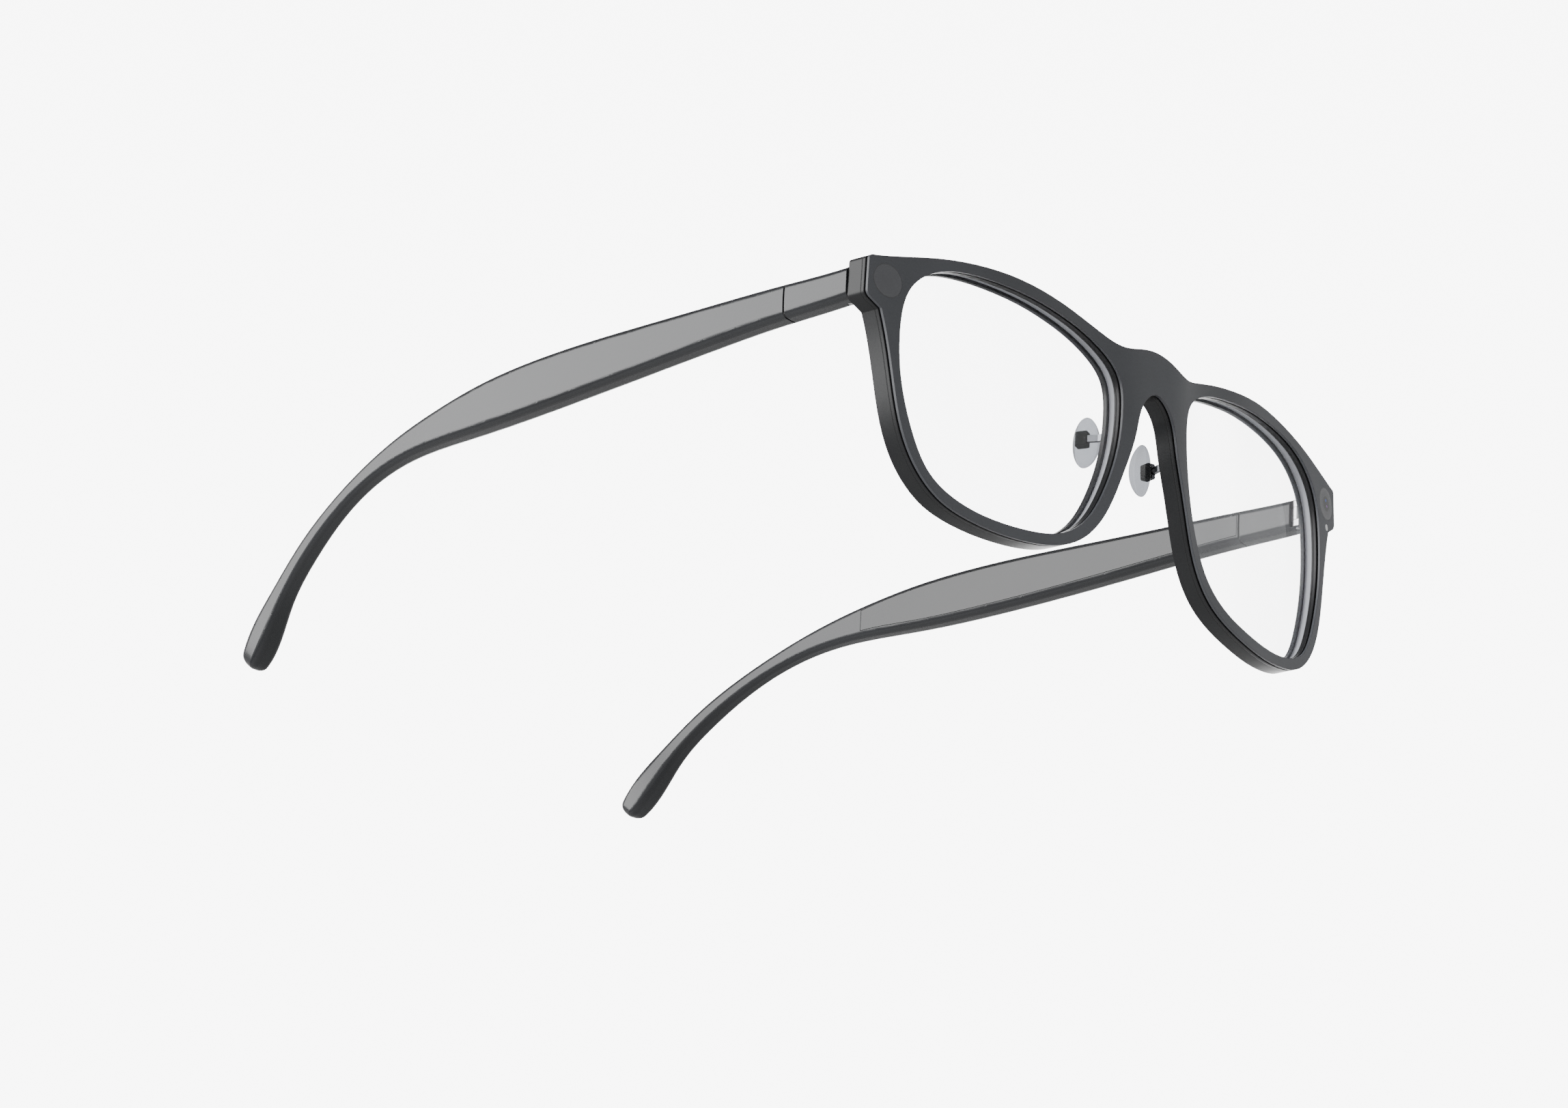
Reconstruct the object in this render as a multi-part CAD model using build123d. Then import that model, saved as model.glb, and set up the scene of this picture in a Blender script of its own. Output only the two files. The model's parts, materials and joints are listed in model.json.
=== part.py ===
from build123d import *
from math import hypot, sqrt
import os

# Smart glasses. Millimetres. The front faces -Y, +Z is up and X is the width.
# The origin is on the mirror plane, on the face of the bridge, at mid-lens height.
# "left" is the wearer's left, at +X. Every left piece is drawn, and the right one is its mirror.

# --- front: outline of the left half, seen from the front, as (x, z) ---
HALF_WIDTH = 67.45
BROW = [(0, 17.5), (4.5, 16.85), (9.2, 15.9), (13.5, 16.8), (20, 18.55), (28, 19.8), (37, 20.45), (46, 19.8)]
BROW += [(54, 18.25), (60.5, 16.55)]
BROW_END = (65.6, 15.35)
ENDPIECE_TOP = 15.15
ENDPIECE_BOTTOM = 8.1
RIM_START = (64.5, 6.3)
RIM = [(63.1, 1.2), (62.2, -3.1), (61.1, -8.8), (57.4, -18.4), (51.2, -23.9), (45.1, -25.6), (38.0, -26.2)]
RIM += [(31.2, -25.9), (23.6, -24.2), (17.7, -21.1), (13.2, -16.2), (8.75, -6.5), (5.9, 1.4), (3.9, 7.2)]
ARCH_TOP = (0, 9.7)

# --- lens aperture of the left eye, as (x, z), anticlockwise from the temple side ---
APERTURE = [(60.6, -1.9), (60.4, 6.0), (58.6, 11.4), (54.3, 15.3), (46.0, 17.9), (36.0, 18.3), (24.9, 17.3)]
APERTURE += [(15.0, 14.7), (10.2, 10.6), (9.2, 4.5), (10.2, -3.4), (12.9, -11.2), (17.3, -17.9)]
APERTURE += [(24.0, -22.2), (32.2, -24.0), (40.0, -24.2), (47.5, -23.1), (53.6, -20.1), (57.6, -13.9)]

# --- how far the face of the front curves back at each x, and how it leans ---
WRAP = [(5.8, 0.1), (8.7, 0.5), (11.5, 1.15), (15.4, 1.85), (20, 2.3), (28.8, 2.85), (40.4, 4.7), (54, 7.0), (73, 11.5)]
LEAN = 1.15

# --- layers of the front, as depth behind its face ---
PLATE_BACK = 0.5
GASKET_BACK = 0.85
BAND_BACK = 1.5
FRONT_BACK = 4.33
GROOVE_INSET = 0.35
LENS_FRONT = 1.9
LENS_BACK = 3.5
LENS_LIP = 0.55
LENS_PLAY = 0.05

# --- round features of the endpieces, as (x, z) and radii ---
DISC = (63.4, 11.4)
DISC_R = 2.95
LIGHT = (63.7, 6.97)
LIGHT_R = 0.62
CAMERA_R = 2.15
CAMERA_EYE_R = 1.2
CAMERA_BACK = 2.2
BOARD_BACK = 2.7

# --- hinge ---
HINGE_X, HINGE_Y = 64.6, 15.9
KNUCKLE_R = 1.15
PIN_R = 0.55
PIN_CLEARANCE = 0.05
ENDPIECE_BACK = 14.45
TEMPLE_START = 14.65
TONGUE_LOW = (8.6, 9.8)
KNUCKLE = (9.85, 12.2)
TONGUE_HIGH = (12.25, 13.4)

# --- temple: sections along its centre line, as (y, z of centre, height, thickness) ---
TEMPLE = [(TEMPLE_START, 11.15, 5.7, 4.2), (30, 10.85, 6.3, 4.2), (45, 10.4, 7.2, 4.2), (61, 9.8, 8.4, 4.2)]
TEMPLE += [(75, 9.3, 9.3, 4.2), (88, 8.7, 9.5, 4.2), (100, 7.9, 8.6, 4.1), (110, 6.9, 6.7, 3.9)]
TEMPLE += [(119, 5.45, 4.9, 3.5), (128, 2.8, 3.6, 3.2), (137.3, -1.6, 3.2, 3.2), (146, -7.6, 3.5, 3.5)]
TEMPLE += [(153.3, -14.7, 4.1, 3.9), (160.3, -24.0, 4.7, 4.3)]
TIP_DIRECTION = (0.62, -0.78)
TIP_LENGTH = 2.0
# plan curve of the temple's outer face, as (y, x)
OUTER_FACE = [(TEMPLE_START, 67.6), (45, 66.9), (77, 65.5), (96, 64.2), (115, 62.2), (135, 59.3), (165, 53.3)]
TEMPLE_T = 4.2
WALL = 0.8
SEAM_Y = 28.0
SEAM_WIDTH = 0.35
SEAM_INSET = 0.2
SEAM_BOW = 0.9
COVER_END = 112
COVER_RISE = 1.35
COVER_DROP = 1.0
COVER_T = 0.8
PARTING_GAP = 0.06
CAVITY = (31, 109)
CAVITY_WALL = 0.9
CHARGE = (42, 10.3)

# --- nose pads ---
PAD_CENTRE = (7.7, 9.5, 0.4)
PAD_TURN = 14
PAD_SPLAY = 3
PAD_WIDTH = 4.7
PAD_HEIGHT = 9.4
PAD_T = 1.3
PAD_BOX = (1.7, 2.3, 2.8)
PAD_BOX_GAP = 0.3
PAD_PIVOT = 1.4
PAD_PIN_R = 0.35
PAD_ARM = [(8.6, 4.0), (8.7, 6.2), (9.8, 8.7)]
PAD_ARM_SIZE = (0.6, 1.2)


def at(points, order):
    """Turn 2-D points into 3-D ones: order names the axes, as in 'xz'."""
    return [tuple(p[order.index(k)] if k in order else 0 for k in "xyz") for p in points]


def mirrored(part):
    return mirror(part, about=Plane.YZ)


def block(x, y, z):
    """A box between two values on each axis."""
    size = Box(x[1] - x[0], y[1] - y[0], z[1] - z[0])
    return Pos((x[0] + x[1]) / 2, (y[0] + y[1]) / 2, (z[0] + z[1]) / 2) * size


def upright(radius, x, y, z):
    """A cylinder along Z between two heights."""
    return Pos(x, y, (z[0] + z[1]) / 2) * Cylinder(radius, z[1] - z[0])


# --- the front: shapes that all its layers share ---

def moved(loop, amount):
    """A closed loop of points, each moved square to it: outwards if the loop runs anticlockwise."""
    result = []
    for before, (x, z), after in zip(loop[-1:] + loop[:-1], loop, loop[1:] + loop[:1]):
        run = (after[0] - before[0], after[1] - before[1])
        scale = amount / hypot(*run)
        result.append((x + run[1] * scale, z - run[0] * scale))
    return result


def front_face(inset=0.0):
    """The outline of the front, which runs clockwise: brow, left end, rims, right end."""
    end = [(HALF_WIDTH - 0.3, ENDPIECE_TOP), (HALF_WIDTH, ENDPIECE_BOTTOM)]
    brow = BROW + [BROW_END]
    rim = [RIM_START] + RIM
    loop = [(-x, z) for x, z in brow[:0:-1]] + brow + end + rim + [ARCH_TOP]
    loop += [(-x, z) for x, z in reversed(end + rim)]
    loop = moved(loop, inset) + moved(loop, inset)[:1]
    first = 2 * len(brow) - 2
    second = first + len(end) + 1
    third = second + 2 * len(rim)
    curves = [Spline(*at(loop[:first + 1], "xz")), Spline(*at(loop[second:third + 1], "xz"))]
    lines = [Polyline(*at(loop[first:second + 1], "xz")), Polyline(*at(loop[third:], "xz"))]
    face = make_face(curves + lines)
    for low, high, radius in ((12, 30, 0.8), (7.5, 12, 1.5)):
        corners = [v for v in face.vertices() if abs(v.X) > HALF_WIDTH - 1 and low < v.Z < high]
        face = fillet(corners, radius)
    return face


def aperture_face(grow=0.0):
    return make_face(Spline(*at(moved(APERTURE, grow), "xz"), periodic=True))


def prism_y(face):
    return Pos(0, -10, 0) * extrude(face, amount=40, dir=(0, 1, 0))


def wrap_slab(front, back, top=24, bottom=-32):
    """The space between two depths behind the face of the front."""
    near = [(-x, y + front) for x, y in reversed(WRAP)] + [(0, front)] + [(x, y + front) for x, y in WRAP]
    far = [(x, y - front + back) for x, y in near]
    curves = [Spline(*at(near, "xy")), Spline(*at(far, "xy"))]
    sides = [Line(curves[0] @ t, curves[1] @ t) for t in (0, 1)]
    slab = extrude(make_face(curves + sides), amount=top - bottom, dir=(0, 0, 1))
    return Rot(X=-LEAN) * Pos(0, 0, bottom) * slab


def front_layer(front, back, inset=0.0, hole_grow=0.0):
    hole = prism_y(aperture_face(hole_grow))
    return (prism_y(front_face(inset)) - hole - mirrored(hole)) & wrap_slab(front, back)


def round_hole(centre, radius, depth=60):
    x, z = centre
    return Pos(x, 0, z) * Rot(X=90) * Cylinder(radius, depth)


# --- the front: its pieces ---

def front_plate():
    plate = front_layer(0, PLATE_BACK)
    windows = round_hole(DISC, DISC_R)
    return plate - windows - mirrored(windows) - round_hole(LIGHT, LIGHT_R)


def front_gasket():
    gasket = front_layer(PLATE_BACK, GASKET_BACK, inset=GROOVE_INSET, hole_grow=GROOVE_INSET)
    windows = round_hole(DISC, DISC_R)
    return gasket - windows - mirrored(windows) - round_hole(LIGHT, LIGHT_R)


def front_band():
    windows = round_hole(DISC, DISC_R - 0.5)
    band = front_layer(GASKET_BACK, BAND_BACK)
    return band - windows - mirrored(windows) - round_hole(LIGHT, LIGHT_R)


def window():
    return round_hole(DISC, DISC_R) & wrap_slab(0, GASKET_BACK)


def lens():
    """A thin curved lens whose edge stands in the rim's groove."""
    return prism_y(aperture_face(LENS_LIP)) & wrap_slab(LENS_FRONT, LENS_BACK)


def endpiece_block():
    """The stretch of the endpiece behind the rim, which the temple butts against."""
    return block((62.4, 66.9), (12.2, ENDPIECE_BACK), (7.9, 14.1))


def rear_frame():
    frame = front_layer(BAND_BACK, FRONT_BACK)
    groove = prism_y(aperture_face(LENS_LIP + LENS_PLAY)) & wrap_slab(LENS_FRONT, LENS_BACK)
    module = round_hole(DISC, CAMERA_R + 0.05) & wrap_slab(BAND_BACK, BOARD_BACK)
    pipe = round_hole(LIGHT, LIGHT_R) & wrap_slab(BAND_BACK, BOARD_BACK)
    cuts = groove + module
    frame += endpiece_block() + mirrored(endpiece_block())
    frame -= leaf_base() + mirrored(leaf_base()) + pad_arm() + mirrored(pad_arm())
    return frame - cuts - mirrored(cuts) - pipe


def camera_barrel():
    barrel = round_hole(DISC, CAMERA_R) & wrap_slab(GASKET_BACK, CAMERA_BACK)
    eye = round_hole(DISC, CAMERA_EYE_R) & wrap_slab(GASKET_BACK, GASKET_BACK + 0.7)
    return barrel - eye


def camera_lens():
    return round_hole(DISC, CAMERA_EYE_R) & wrap_slab(GASKET_BACK + 0.15, GASKET_BACK + 0.7)


def camera_board():
    return round_hole(DISC, CAMERA_R) & wrap_slab(CAMERA_BACK, BOARD_BACK)


def light_sensor():
    return round_hole(DISC, CAMERA_EYE_R) & wrap_slab(GASKET_BACK, CAMERA_BACK)


def light_pipe():
    return round_hole(LIGHT, LIGHT_R) & wrap_slab(0.02, BOARD_BACK)


# --- hinge ---

def leaf_base():
    return block((63.4, 66.2), (12.95, ENDPIECE_BACK), (8.3, 13.7))


def bored(part, radius):
    return part - upright(radius, HINGE_X, HINGE_Y, (0, 30))


def front_leaf():
    """The leaf fixed in the endpiece, with the outer two of the three knuckles."""
    leaf = leaf_base()
    for z in (TONGUE_LOW, TONGUE_HIGH):
        arm = block((HINGE_X - KNUCKLE_R, HINGE_X + KNUCKLE_R), (ENDPIECE_BACK - 0.3, HINGE_Y), z)
        leaf += arm + upright(KNUCKLE_R, HINGE_X, HINGE_Y, z)
    return bored(leaf, PIN_R + PIN_CLEARANCE)


def temple_leaf():
    tail = block((HINGE_X - 0.5, HINGE_X + 0.6), (HINGE_Y, 26), KNUCKLE)
    return bored(tail + upright(KNUCKLE_R, HINGE_X, HINGE_Y, KNUCKLE), PIN_R)


def hinge_pin():
    return upright(PIN_R, HINGE_X, HINGE_Y, (TONGUE_LOW[0] - 0.3, TONGUE_HIGH[1] + 0.3))


# --- temple: shapes that its pieces share ---

def outer_curve():
    return Spline(*at([(x, y) for y, x in OUTER_FACE], "xy"))


def outer_x(y):
    """Where the temple's outer face lies at a station along it."""
    cut = outer_curve().intersect(Axis((0, y, 0), (1, 0, 0)))
    return cut.X if isinstance(cut, Vector) else cut[0].X


def temple_body():
    """A loft of rounded sections square to the centre line, drawn in to a round tip."""
    middle = [(outer_x(y) - thick / 2, y, z) for y, z, height, thick in TEMPLE]
    path = Spline(*middle, tangents=[(0, 1, 0), (-0.2, *TIP_DIRECTION)])
    sections = []
    for point, (y, z, height, thick) in zip(middle, TEMPLE):
        along = path.tangent_at(path.param_at_point(point))
        plane = Plane(point, x_dir=(1, 0, 0), z_dir=(0, along.Y, along.Z))
        sections.append(plane * RectangleRounded(thick, height, 0.3 * thick))
    (x, y, z), (_, _, height, thick) = middle[-1], TEMPLE[-1]
    for reach in (0.45, 0.75, 0.95):
        shrink = sqrt(1 - reach**2)
        step = [TIP_LENGTH * reach * d for d in TIP_DIRECTION]
        plane = Plane((x - 0.2 * step[0], y + step[0], z + step[1]), x_dir=(1, 0, 0), z_dir=(0, *TIP_DIRECTION))
        sections.append(plane * RectangleRounded(thick * shrink, height * shrink, 0.3 * thick * shrink))
    return loft(sections)


def side_prism(face):
    return Pos(40, 0, 0) * extrude(face, amount=40, dir=(1, 0, 0))


def depth_band(near, far):
    """The space between two depths in from the temple's outer face, over its whole height."""
    curves = [Spline(*at([(x - d, y) for y, x in OUTER_FACE], "xy")) for d in (near, far)]
    ends = [Line(curves[0] @ t, curves[1] @ t) for t in (0, 1)]
    return Pos(0, 0, -40) * extrude(make_face(curves + ends), amount=70, dir=(0, 0, 1))


def section_at(y):
    """The centre height and the height of the temple at any station along it."""
    for (y0, z0, height0, _), (y1, z1, height1, _) in zip(TEMPLE, TEMPLE[1:]):
        if y0 <= y <= y1:
            part = (y - y0) / (y1 - y0)
            return z0 + part * (z1 - z0), height0 + part * (height1 - height0)


def side_region(start, end, bottom_rise, top_drop):
    """A side view of the temple between two stations, in from its bottom and top edges."""
    low, high = [], []
    for y in [start] + [station[0] for station in TEMPLE if start < station[0] < end] + [end]:
        z, height = section_at(y)
        low.append((y, z - height / 2 + bottom_rise))
        high.append((y, z + height / 2 - top_drop))
    bottom, top = Spline(*at(low, "yz")), Spline(*at(high, "yz"))
    return side_prism(make_face([bottom, top, Line(bottom @ 0, top @ 0), Line(bottom @ 1, top @ 1)]))


def seam_slice(start, end):
    """A slice of the temple between two stations, with the gentle bow of the seam."""
    arcs = [ThreePointArc(*at([(y - SEAM_BOW, 3), (y, 11), (y - SEAM_BOW, 19)], "yz")) for y in (start, end)]
    ends = [Line(arcs[0] @ t, arcs[1] @ t) for t in (0, 1)]
    return side_prism(make_face(arcs + ends))


# --- temple: its pieces ---

def temple_housing(body):
    """The front stretch of the temple, open at the corner where the hinge knuckles turn."""
    reach = KNUCKLE_R + 0.1
    corner = block((60, HINGE_X + reach), (TEMPLE_START - 1, HINGE_Y + reach), (TONGUE_LOW[0] - 0.05, 13.45))
    rounding = block((60, HINGE_X), (TEMPLE_START - 1, HINGE_Y), (0, 30))
    rounding -= upright(KNUCKLE_R + 0.1, HINGE_X, HINGE_Y, (0, 30))
    slot = block((HINGE_X - 0.5, HINGE_X + 0.6), (HINGE_Y, 26), KNUCKLE)
    bay = block((HINGE_X + 0.65, 66.6), (18, 27), (9.0, 13.2))
    housing = body & seam_slice(TEMPLE_START - 3, SEAM_Y)
    return bored(housing - corner - rounding - slot - bay, PIN_R)


def seam_gasket(body):
    ring = body & seam_slice(SEAM_Y, SEAM_Y + SEAM_WIDTH)
    return ring & depth_band(SEAM_INSET, TEMPLE_T - SEAM_INSET) & block((60, 70), (20, 35), (7.95, 13.8))


def cavity():
    return depth_band(WALL, TEMPLE_T - COVER_T) & side_region(*CAVITY, CAVITY_WALL, CAVITY_WALL)


def cover_region(gap=0.0):
    side = side_region(SEAM_Y + SEAM_WIDTH + 0.3 - gap, COVER_END + gap, COVER_RISE - gap, COVER_DROP - gap)
    return side & depth_band(TEMPLE_T - COVER_T - gap, TEMPLE_T + 3)


def temple_shell(body):
    shell = body - seam_slice(TEMPLE_START - 3, SEAM_Y + SEAM_WIDTH)
    return shell - cavity() - cover_region(PARTING_GAP)


def temple_cover(body):
    return body & cover_region()


def bay_part(y, z, depth):
    """A part in the temple's cavity that follows its curve, at stated depths in from the outer face."""
    return depth_band(*depth) & block((50, 70), y, z)


def battery():
    return bay_part((62, 97), (6.75, 11.3), (1.15, 3.1))


def circuit_board():
    return bay_part((35, 59), (8.5, 12.4), (1.6, 2.4))


def speaker():
    return bay_part((99, 108), (5.2, 9.0), (1.2, 3.0))


def microphone():
    return bay_part((31.8, 33.4), (9.4, 11.4), (1.5, 2.6))


def touch_strip():
    return bay_part((36, 56), (8.6, 12.0), (0.85, 1.1))


def charging_pad():
    """A flat oval boss on the temple's inner face, in the temple's cover."""
    y, z = CHARGE
    x = outer_x(y) - TEMPLE_T
    oval = Plane((x - 0.15, y, z), x_dir=(0, 1, 0), z_dir=(1, 0, 0)) * SlotOverall(7.4, 3.0)
    return extrude(oval, amount=0.65)


def charging_contacts():
    y, z = CHARGE
    x = outer_x(y) - TEMPLE_T - 0.15
    discs = [Pos(x + 0.2, y + dy, z) * Rot(Y=90) * Cylinder(0.75, 0.4) for dy in (-1.9, 1.9)]
    return discs


# --- nose pads ---

def pad_place():
    """The left pad's own frame: X across its face towards the nose, Y along its width, Z along its height."""
    return Pos(*PAD_CENTRE) * Rot(Z=-PAD_TURN) * Rot(Y=-PAD_SPLAY)


def nose_pad():
    """A thin oval pad, slightly crowned towards the nose, with a tab that enters its box."""
    outline = Plane.YZ * Ellipse(PAD_WIDTH / 2, PAD_HEIGHT / 2)
    pad = Pos(-PAD_T / 2, 0, 0) * extrude(outline, amount=PAD_T, dir=(1, 0, 0))
    crown = Pos(12.5 - PAD_T / 2, 0, 0) * Rot(X=90) * Cylinder(12.5, 30)
    pad = fillet((pad & crown).edges(), 0.2)
    tab = block((0, PAD_PIVOT + 0.7), (-0.45, 0.45), (-0.8, 0.8))
    return pad_place() * (pad + tab - pad_pivot(PAD_PIN_R + PIN_CLEARANCE))


def pad_pivot(radius):
    return Pos(PAD_PIVOT, 0, 0) * Rot(X=90) * Cylinder(radius, PAD_BOX[1])


def pad_box_block():
    depth, width, height = PAD_BOX
    near = PAD_T / 2 + PAD_BOX_GAP
    return fillet(block((near, near + depth), (-width / 2, width / 2), (-height / 2, height / 2)).edges(), 0.3)


def pad_box():
    hollow = block((0, PAD_T / 2 + PAD_BOX_GAP + PAD_BOX[0] - 0.4), (-0.6, 0.6), (-1.1, 1.1))
    return pad_place() * (pad_box_block() - hollow - pad_pivot(PAD_PIN_R))


def pad_screw():
    return pad_place() * pad_pivot(PAD_PIN_R)


def pad_arm():
    """A flat metal strip from the back of the rim to the pad's box."""
    thick, height = PAD_ARM_SIZE
    strip = trace(Polyline(*at(PAD_ARM, "xy")), thick)
    strip = Pos(0, 0, PAD_CENTRE[2] - height / 2) * extrude(strip, amount=height, dir=(0, 0, 1))
    return strip - pad_place() * pad_box_block()


def front_pieces():
    single = {
        "front_plate": front_plate(),
        "plate_gasket": front_gasket(),
        "front_band": front_band(),
        "rear_frame": rear_frame(),
        "camera_window": window(),
        "camera_barrel": camera_barrel(),
        "camera_lens": camera_lens(),
        "camera_board": camera_board(),
        "light_pipe": light_pipe(),
        "sensor_window": mirrored(window()),
        "light_sensor": mirrored(light_sensor()),
    }
    pairs = {
        "lens": lens(),
        "hinge_front_leaf": front_leaf(),
        "nose_pad": nose_pad(),
        "nose_pad_box": pad_box(),
        "nose_pad_screw": pad_screw(),
        "nose_pad_arm": pad_arm(),
    }
    return single, pairs


def temple_pieces():
    body = temple_body()
    cover = temple_cover(body)
    pairs = {
        "hinge_temple_leaf": temple_leaf(),
        "hinge_pin": hinge_pin(),
        "temple_housing": temple_housing(body),
        "seam_gasket": seam_gasket(body),
        "temple_shell": temple_shell(body),
        "battery": battery(),
        "circuit_board": circuit_board(),
        "speaker": speaker(),
        "microphone": microphone(),
    }
    single = {
        "temple_cover_left": cover,
        "temple_cover_right": mirrored(cover - charging_pad()),
        "charging_pad": mirrored(charging_pad() - charging_contacts()),
        "charging_contacts": [mirrored(contact) for contact in charging_contacts()],
        "touch_strip": mirrored(touch_strip()),
    }
    return single, pairs


def all_nodes():
    nodes = {}
    for single, pairs in (front_pieces(), temple_pieces()):
        nodes.update(single)
        for name, piece in pairs.items():
            nodes[f"{name}_left"] = piece
            nodes[f"{name}_right"] = mirrored(piece)
    return nodes


if __name__ == "__main__":
    os.makedirs("parts", exist_ok=True)
    for name, piece in all_nodes().items():
        solids = piece if isinstance(piece, list) else [piece]
        solids = [solid for shape in solids for solid in shape.solids()]
        export_step(Compound(children=solids) if len(solids) > 1 else solids[0], f"parts/{name}.step")
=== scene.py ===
import json
import math

import bpy
from mathutils import Matrix, Vector

# Smart glasses in metres. The CAD parts are the object. This script gives them their looks, the studio
# and the camera.

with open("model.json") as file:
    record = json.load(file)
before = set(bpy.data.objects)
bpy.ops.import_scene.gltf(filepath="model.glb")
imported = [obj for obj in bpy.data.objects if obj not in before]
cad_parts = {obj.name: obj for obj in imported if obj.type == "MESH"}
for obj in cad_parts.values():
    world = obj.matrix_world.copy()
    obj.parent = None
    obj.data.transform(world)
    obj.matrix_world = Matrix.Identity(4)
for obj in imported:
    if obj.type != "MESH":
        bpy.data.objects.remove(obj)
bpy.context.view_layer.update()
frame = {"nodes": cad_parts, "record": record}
NODES = frame["nodes"]
SCENE = bpy.context.scene


# ---------- materials ----------

class Tree:
    """A small helper that builds one node tree."""

    def __init__(self, name):
        self.material = bpy.data.materials.new(name)
        self.material.use_nodes = True
        self.nodes = self.material.node_tree.nodes
        self.links = self.material.node_tree.links
        self.nodes.clear()
        self.out = self.nodes.new("ShaderNodeOutputMaterial")
        self.place = self.add("ShaderNodeTexCoord")

    def add(self, kind, **inputs):
        node = self.nodes.new(kind)
        for key, value in inputs.items():
            node.inputs[key.replace("_", " ")].default_value = value
        return node

    def link(self, source, target):
        self.links.new(source, target)

    def noise(self, scale, detail=3.0, rough=0.55, stretch=(1, 1, 1)):
        mapping = self.add("ShaderNodeMapping")
        mapping.inputs["Scale"].default_value = stretch
        self.link(self.place.outputs["Object"], mapping.inputs["Vector"])
        node = self.add("ShaderNodeTexNoise", Scale=scale, Detail=detail, Roughness=rough)
        self.link(mapping.outputs["Vector"], node.inputs["Vector"])
        return node.outputs["Fac"]

    def ramp(self, value, stops):
        node = self.add("ShaderNodeValToRGB")
        elements = node.color_ramp.elements
        elements[0].position, elements[0].color = stops[0][0], (*stops[0][1], 1)
        elements[1].position, elements[1].color = stops[-1][0], (*stops[-1][1], 1)
        for position, color in stops[1:-1]:
            elements.new(position).color = (*color, 1)
        self.link(value, node.inputs["Fac"])
        return node.outputs["Color"]

    def range(self, value, low, high, start=0.3, end=0.7):
        node = self.add("ShaderNodeMapRange")
        for key, number in zip(("From Min", "From Max", "To Min", "To Max"), (start, end, low, high)):
            node.inputs[key].default_value = number
        self.link(value, node.inputs["Value"])
        return node.outputs["Result"]

    def bump(self, value, strength, distance, normal=None):
        node = self.add("ShaderNodeBump", Strength=strength, Distance=distance)
        self.link(value, node.inputs["Height"])
        if normal is not None:
            self.link(normal, node.inputs["Normal"])
        return node.outputs["Normal"]


def grey(value, tint=(1.0, 1.0, 1.0)):
    return tuple(value * t for t in tint)


def surface(
    name, color, rough, spread=0.18, grain=1400.0, bump=0.12, edge=0.0,
    metal=0.0, ior=1.5, coat=0.0, coat_rough=0.1,
):
    """A moulded or metal finish: fine grain, slow colour drift, uneven gloss and softened edges."""
    t = Tree(name)
    shader = t.add("ShaderNodeBsdfPrincipled", Metallic=metal, IOR=ior)
    shader.inputs["Coat Weight"].default_value = coat
    shader.inputs["Coat Roughness"].default_value = coat_rough
    slow = t.noise(26.0, 4.0)
    fine = t.noise(grain, 2.0)
    dark = tuple(c * (1 - spread) for c in color)
    light = tuple(min(1.0, c * (1 + spread)) for c in color)
    t.link(t.ramp(slow, [(0.35, dark), (0.5, color), (0.65, light)]), shader.inputs["Base Color"])
    t.link(t.range(slow, rough * 0.86, rough * 1.14), shader.inputs["Roughness"])
    normal = None
    if edge:
        rounded = t.add("ShaderNodeBevel", Radius=edge)
        rounded.samples = 6
        normal = rounded.outputs["Normal"]
    t.link(t.bump(fine, bump, 0.00003, normal), shader.inputs["Normal"])
    t.link(shader.outputs["BSDF"], t.out.inputs["Surface"])
    return t.material


def shine_amount(t, head_on, grazing, power):
    """How much a clear surface reflects: a little head-on and much more at a grazing angle."""
    facing = t.add("ShaderNodeLayerWeight", Blend=0.5)
    curve = t.add("ShaderNodeMath")
    curve.operation = "POWER"
    curve.inputs[1].default_value = power
    t.link(facing.outputs["Facing"], curve.inputs[0])
    return t.range(curve.outputs["Value"], head_on, grazing, 0.0, 1.0)


def glass(name, tint, rough):
    """Thin clear glass: it shows what's behind it, with a coated reflection and faint smears."""
    t = Tree(name)
    clear = t.add("ShaderNodeBsdfTransparent")
    haze = t.noise(45.0, 4.0, stretch=(1, 1, 0.4))
    t.link(t.ramp(haze, [(0.3, tint), (0.55, (0.995, 0.996, 0.997)), (0.7, tint)]), clear.inputs["Color"])
    shine = t.add("ShaderNodeBsdfGlossy", Color=(0.96, 0.98, 1.0, 1))
    t.link(t.range(haze, rough, rough + 0.04), shine.inputs["Roughness"])
    mix = t.add("ShaderNodeMixShader")
    t.link(shine_amount(t, 0.03, 1.0, 5.0), mix.inputs["Fac"])
    t.link(clear.outputs["BSDF"], mix.inputs[1])
    t.link(shine.outputs["BSDF"], mix.inputs[2])
    t.link(mix.outputs["Shader"], t.out.inputs["Surface"])
    return t.material


def smoky(name, color, clearness, rough):
    """Smoke-tinted silicone: partly clear, denser towards its edges, with a fine frosted grain."""
    t = Tree(name)
    clear = t.add("ShaderNodeBsdfTransparent", Color=(*clearness, 1))
    body = t.add("ShaderNodeBsdfPrincipled", IOR=1.41)
    slow, fine = t.noise(160.0, 3.0), t.noise(2400.0, 2.0)
    t.link(t.ramp(slow, [(0.3, grey(0.8 * color)), (0.7, grey(1.2 * color))]), body.inputs["Base Color"])
    t.link(t.range(slow, rough * 0.85, rough * 1.15), body.inputs["Roughness"])
    t.link(t.bump(fine, 0.1, 0.00002), body.inputs["Normal"])
    mix = t.add("ShaderNodeMixShader")
    t.link(shine_amount(t, 0.3, 1.0, 2.2), mix.inputs["Fac"])
    t.link(clear.outputs["BSDF"], mix.inputs[1])
    t.link(body.outputs["BSDF"], mix.inputs[2])
    t.link(mix.outputs["Shader"], t.out.inputs["Surface"])
    return t.material


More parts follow.
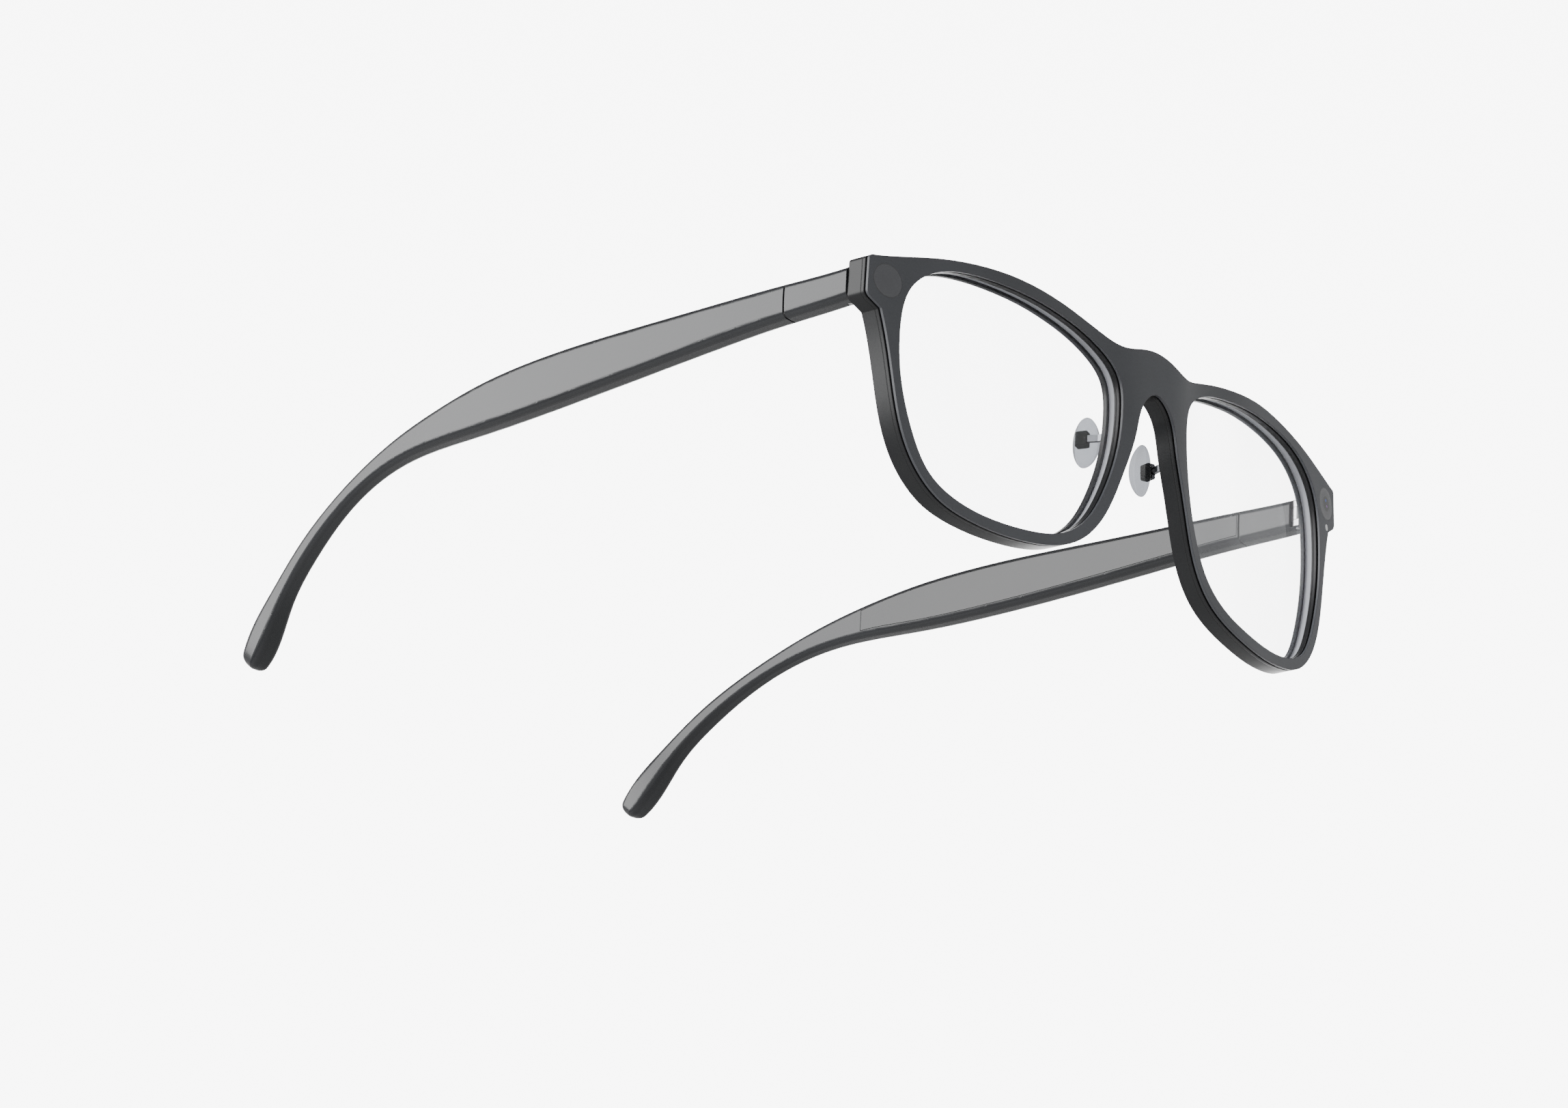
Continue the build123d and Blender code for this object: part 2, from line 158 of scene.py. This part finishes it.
def disc_window(name, centre, stops, painted_glints=()):
    """A smoked round window: rings from its centre outwards, and small painted glints (blue and violet
    reflections painted into the base colour).
    """
    t = Tree(name)
    shader = t.add("ShaderNodeBsdfPrincipled", IOR=1.45)
    fine = t.noise(1200.0, 2.0)
    slow = t.noise(300.0, 3.0)
    parts = t.add("ShaderNodeSeparateXYZ")
    t.link(t.place.outputs["Object"], parts.inputs["Vector"])

    def distance(x, z):
        flat = t.add("ShaderNodeCombineXYZ")
        t.link(parts.outputs["X"], flat.inputs["X"])
        t.link(parts.outputs["Z"], flat.inputs["Z"])
        away = t.add("ShaderNodeVectorMath")
        away.operation = "DISTANCE"
        away.inputs[1].default_value = (x, 0, z)
        t.link(flat.outputs["Vector"], away.inputs[0])
        return away.outputs["Value"]

    radius = t.range(distance(*centre), 0.0, 1.0, 0.0, 0.003)
    color = t.ramp(radius, stops)
    # Painted glints: each mixes a small reflection spot into the window's base colour.
    for x, z, size, glint in painted_glints:
        mix = t.add("ShaderNodeMix")
        mix.data_type = "RGBA"
        mix.inputs["B"].default_value = (*glint, 1)
        t.link(t.range(distance(x, z), 1.0, 0.0, size * 0.5, size), mix.inputs["Factor"])
        t.link(color, mix.inputs["A"])
        color = mix.outputs["Result"]
    t.link(color, shader.inputs["Base Color"])
    t.link(t.range(slow, 0.2, 0.26), shader.inputs["Roughness"])
    t.link(t.bump(fine, 0.03, 0.00002), shader.inputs["Normal"])
    t.link(shader.outputs["BSDF"], t.out.inputs["Surface"])
    return t.material


COOL = (0.965, 0.985, 1.06)
BLUISH = (0.93, 0.98, 1.1)
MATERIALS = {
    "plate_satin": surface("plate satin", grey(0.075, BLUISH), 0.4, edge=0.00016),
    "frame_satin": surface("frame satin", grey(0.02, COOL), 0.34, edge=0.00025, ior=1.36),
    "temple_satin": surface("temple satin", grey(0.027, BLUISH), 0.24, edge=0.0001),
    "temple_inner": surface("temple inner", grey(0.03, COOL), 0.26, edge=0.0001),
    "black_gasket": surface("black gasket", grey(0.003), 0.6, bump=0.2),
    "lens_glass": glass("lens glass", (0.975, 0.978, 0.985), 0.012),
    "camera_glass": surface("camera glass", (0.01, 0.012, 0.05), 0.05, bump=0.0, coat=1.0),
    "light_pipe": surface("light pipe", grey(0.85), 0.3, spread=0.05, bump=0.05),
    "nose_pad": smoky("nose pad", 0.07, (0.42, 0.43, 0.45), 0.35),
    "pad_box": smoky("pad box", 0.015, (0.12, 0.123, 0.13), 0.15),
    "arm_metal": surface("arm metal", grey(0.25, COOL), 0.32, metal=1.0, edge=0.00005),
    "hinge_metal": surface("hinge metal", grey(0.62), 0.28, metal=1.0, edge=0.00005),
    "component_black": surface("component black", grey(0.02), 0.5),
    "battery_foil": surface("battery foil", grey(0.6), 0.35, metal=1.0),
    "board": surface("board", (0.02, 0.09, 0.05), 0.4),
    "contact_gold": surface("contact gold", (0.8, 0.55, 0.22), 0.25, metal=1.0),
}
DISC = (0.0634, 0.0114)
RINGS = [(0.0, grey(0.035, COOL)), (0.42, grey(0.045, COOL)), (0.5, grey(0.1, COOL))]
RINGS += [(0.93, grey(0.13, COOL)), (1.0, grey(0.03))]
# Painted glints: blue and violet reflections of the camera's lens, painted as colour spots on the camera
# window.
PAINTED_GLINTS = [(0.0633, 0.0120, 0.00035, (0.05, 0.12, 0.55)), (0.0638, 0.01107, 0.0003, (0.35, 0.12, 0.5))]
PLAIN = [(0.0, grey(0.1, COOL)), (0.92, grey(0.105, COOL)), (1.0, grey(0.04))]
WINDOWS = {
    "camera_window": disc_window("camera window", DISC, RINGS, PAINTED_GLINTS),
    "sensor_window": disc_window("sensor window", (-DISC[0], DISC[1]), PLAIN),
}
SLOTS = {part["node"]: part["material_slot"] for part in frame["record"]["subparts"]}
# A lens face that points further than this away from the front or back belongs to the lens's cut wall.
WALL_FACING = 0.5
LENS_WALL = surface("lens wall", grey(0.55, COOL), 0.5, bump=0.2)
for name, node in NODES.items():
    node.data.materials.clear()
    node.data.materials.append(WINDOWS[name] if name in WINDOWS else MATERIALS[SLOTS[name]])
    if SLOTS[name] == "lens_glass":
        node.data.materials.append(LENS_WALL)
        for polygon in node.data.polygons:
            polygon.material_index = int(abs(polygon.normal.y) < WALL_FACING)


# ---------- camera ----------

YAW, PITCH, ROLL = (math.radians(a) for a in (49.92, 19.50, 2.60))
TARGET = Vector((-0.09769, 0.0, -0.04854))
DISTANCE = 0.976
FOCAL_MM, SENSOR_MM = 143.08, 36
NEAR_CLIP = 0.02
back = Vector((-math.sin(YAW) * math.cos(PITCH), -math.cos(YAW) * math.cos(PITCH), -math.sin(PITCH)))
right = (-back).cross(Vector((0, 0, 1))).normalized()
up = right.cross(-back)
turned_right = math.cos(ROLL) * right + math.sin(ROLL) * up
turned_up = math.cos(ROLL) * up - math.sin(ROLL) * right
lens_data = bpy.data.cameras.new("camera")
lens_data.lens = FOCAL_MM
lens_data.sensor_width = SENSOR_MM
lens_data.clip_start = NEAR_CLIP
camera = bpy.data.objects.new("camera", lens_data)
SCENE.collection.objects.link(camera)
rotation = Matrix((turned_right, turned_up, back)).transposed().to_4x4()
camera.matrix_world = Matrix.Translation(TARGET + DISTANCE * back) @ rotation
SCENE.camera = camera


# ---------- floor and light ----------

def plain_mesh(name, points, faces, material=None):
    mesh = bpy.data.meshes.new(name)
    mesh.from_pydata(points, [], faces)
    if material:
        mesh.materials.append(material)
    obj = bpy.data.objects.new(name, mesh)
    SCENE.collection.objects.link(obj)
    return obj


FLOOR_Z = -0.9
FLOOR_HALF = 4
floor = plain_mesh(
    "floor",
    [(FLOOR_HALF * x, FLOOR_HALF * y, FLOOR_Z) for x, y in ((-1, -1), (1, -1), (1, 1), (-1, 1))],
    [(0, 1, 2, 3)],
    surface("floor", grey(0.6), 0.8, spread=0.02, grain=200.0, bump=0.02),
)

# The studio's backdrop: pale all round, and brightest behind the object as the camera sees it.
world = bpy.data.worlds.new("studio")
world.use_nodes = True
sky = world.node_tree
background = sky.nodes["Background"]
background.inputs["Color"].default_value = (1, 1, 1, 1)
ray = sky.nodes.new("ShaderNodeTexCoord")
toward = sky.nodes.new("ShaderNodeVectorMath")
toward.operation = "DOT_PRODUCT"
toward.inputs[1].default_value = -back
glow = sky.nodes.new("ShaderNodeMapRange")
glow.interpolation_type = "SMOOTHSTEP"
for key, number in (("From Min", 0.88), ("From Max", 0.985), ("To Min", 0.0), ("To Max", 7.5)):
    glow.inputs[key].default_value = number
height = sky.nodes.new("ShaderNodeSeparateXYZ")
haze = sky.nodes.new("ShaderNodeMapRange")
haze.interpolation_type = "SMOOTHSTEP"
for key, number in (("From Min", 0.7), ("From Max", 0.3), ("To Min", 0.12), ("To Max", 0.8)):
    haze.inputs[key].default_value = number
total = sky.nodes.new("ShaderNodeMath")
sky.links.new(ray.outputs["Generated"], toward.inputs[0])
sky.links.new(ray.outputs["Generated"], height.inputs["Vector"])
sky.links.new(height.outputs["Z"], haze.inputs["Value"])
sky.links.new(toward.outputs["Value"], glow.inputs["Value"])
sky.links.new(glow.outputs["Result"], total.inputs[0])
sky.links.new(haze.outputs["Result"], total.inputs[1])
sky.links.new(total.outputs["Value"], background.inputs["Strength"])
SCENE.world = world


def softbox(name, place, aim, size, power):
    data = bpy.data.lights.new(name, "AREA")
    data.shape = "RECTANGLE"
    data.size, data.size_y = size
    data.energy = power
    lamp = bpy.data.objects.new(name, data)
    SCENE.collection.objects.link(lamp)
    lamp.location = place
    lamp.rotation_mode = "QUATERNION"
    lamp.rotation_quaternion = (Vector(aim) - Vector(place)).to_track_quat("-Z", "Y")
    return lamp


softbox("side light", (-1.25, 1.05, 0.55), (0, 0.05, 0), (1.5, 1.1), 34)
softbox("top light", (0.0, 0.0, 2.2), (0, 0, 0), (1.4, 1.4), 22)
# Each lens is drawn in a touch, so that its wall and its groove don't share a surface.
LENS_SHRINK = 0.00003
for side in ("left", "right"):
    shrink = NODES[f"lens_{side}"].modifiers.new("clearance", "DISPLACE")
    shrink.strength = -LENS_SHRINK
    shrink.mid_level = 0
